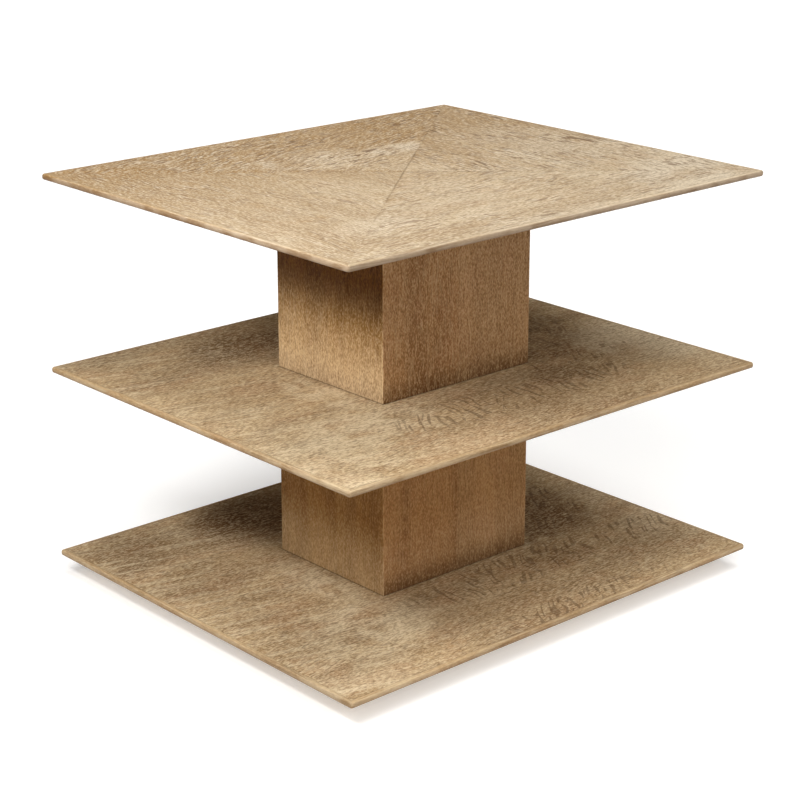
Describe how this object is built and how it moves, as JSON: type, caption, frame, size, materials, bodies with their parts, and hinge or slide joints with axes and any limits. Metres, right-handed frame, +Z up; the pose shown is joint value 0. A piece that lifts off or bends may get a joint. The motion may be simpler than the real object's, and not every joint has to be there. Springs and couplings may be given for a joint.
{
  "type": "tiered side table",
  "caption": "Side table of thin rectangular limed-oak tiers stacked on a square-cut hollow column, with open shelves all round it.",
  "frame": {"origin": "point of the floor under the middle of the table", "axes": "+X along the long side of the tiers, +Y along their short side, +Z up"},
  "size_m": [0.711, 0.61, 0.559],
  "materials": {
    "oak_top_veneer": "limed, matt lacquer",
    "oak_shelf_veneer": "limed, matt lacquer",
    "oak_column_veneer": "limed, matt lacquer",
    "oak_backing_veneer": "limed, matt lacquer",
    "oak_lipping": "limed, matt lacquer",
    "core_board": "raw board",
    "plywood": "raw",
    "beech": "raw",
    "zinc_plated_steel": "zinc plated",
    "glide_nylon": "moulded nylon"
  },
  "bodies": {
    "root": {"bottom_core": "core_board", "bottom_lipping_back": "oak_lipping", "bottom_lipping_front": "oak_lipping", "bottom_lipping_left": "oak_lipping", "bottom_lipping_right": "oak_lipping", "bottom_underside_veneer": "oak_backing_veneer", "bottom_veneer": "oak_shelf_veneer", "glide_screws": "zinc_plated_steel", "glides": "glide_nylon", "locating_dowels": "beech", "lower_column_bottom_plate": "plywood", "lower_column_panel_back": "core_board", "lower_column_panel_front": "core_board", "lower_column_panel_left": "core_board", "lower_column_panel_right": "core_board", "lower_column_splines": "beech", "lower_column_top_plate": "plywood", "lower_column_veneer_back": "oak_column_veneer", "lower_column_veneer_front": "oak_column_veneer", "lower_column_veneer_left": "oak_column_veneer", "lower_column_veneer_right": "oak_column_veneer", "lower_corner_blocks": "beech", "lower_plate_screws": "zinc_plated_steel", "middle_core": "core_board", "middle_lipping_back": "oak_lipping", "middle_lipping_front": "oak_lipping", "middle_lipping_left": "oak_lipping", "middle_lipping_right": "oak_lipping", "middle_underside_veneer": "oak_backing_veneer", "middle_veneer": "oak_shelf_veneer", "rod_inserts": "zinc_plated_steel", "rod_nuts": "zinc_plated_steel", "rod_washers": "zinc_plated_steel", "tie_rods": "zinc_plated_steel", "top_core": "core_board", "top_lipping_back": "oak_lipping", "top_lipping_front": "oak_lipping", "top_lipping_left": "oak_lipping", "top_lipping_right": "oak_lipping", "top_underside_veneer": "oak_backing_veneer", "top_veneer_back": "oak_top_veneer", "top_veneer_front": "oak_top_veneer", "top_veneer_left": "oak_top_veneer", "top_veneer_right": "oak_top_veneer", "upper_column_bottom_plate": "plywood", "upper_column_panel_back": "core_board", "upper_column_panel_front": "core_board", "upper_column_panel_left": "core_board", "upper_column_panel_right": "core_board", "upper_column_splines": "beech", "upper_column_top_plate": "plywood", "upper_column_veneer_back": "oak_column_veneer", "upper_column_veneer_front": "oak_column_veneer", "upper_column_veneer_left": "oak_column_veneer", "upper_column_veneer_right": "oak_column_veneer", "upper_corner_blocks": "beech", "upper_plate_screws": "zinc_plated_steel"}
  },
  "joints": []
}
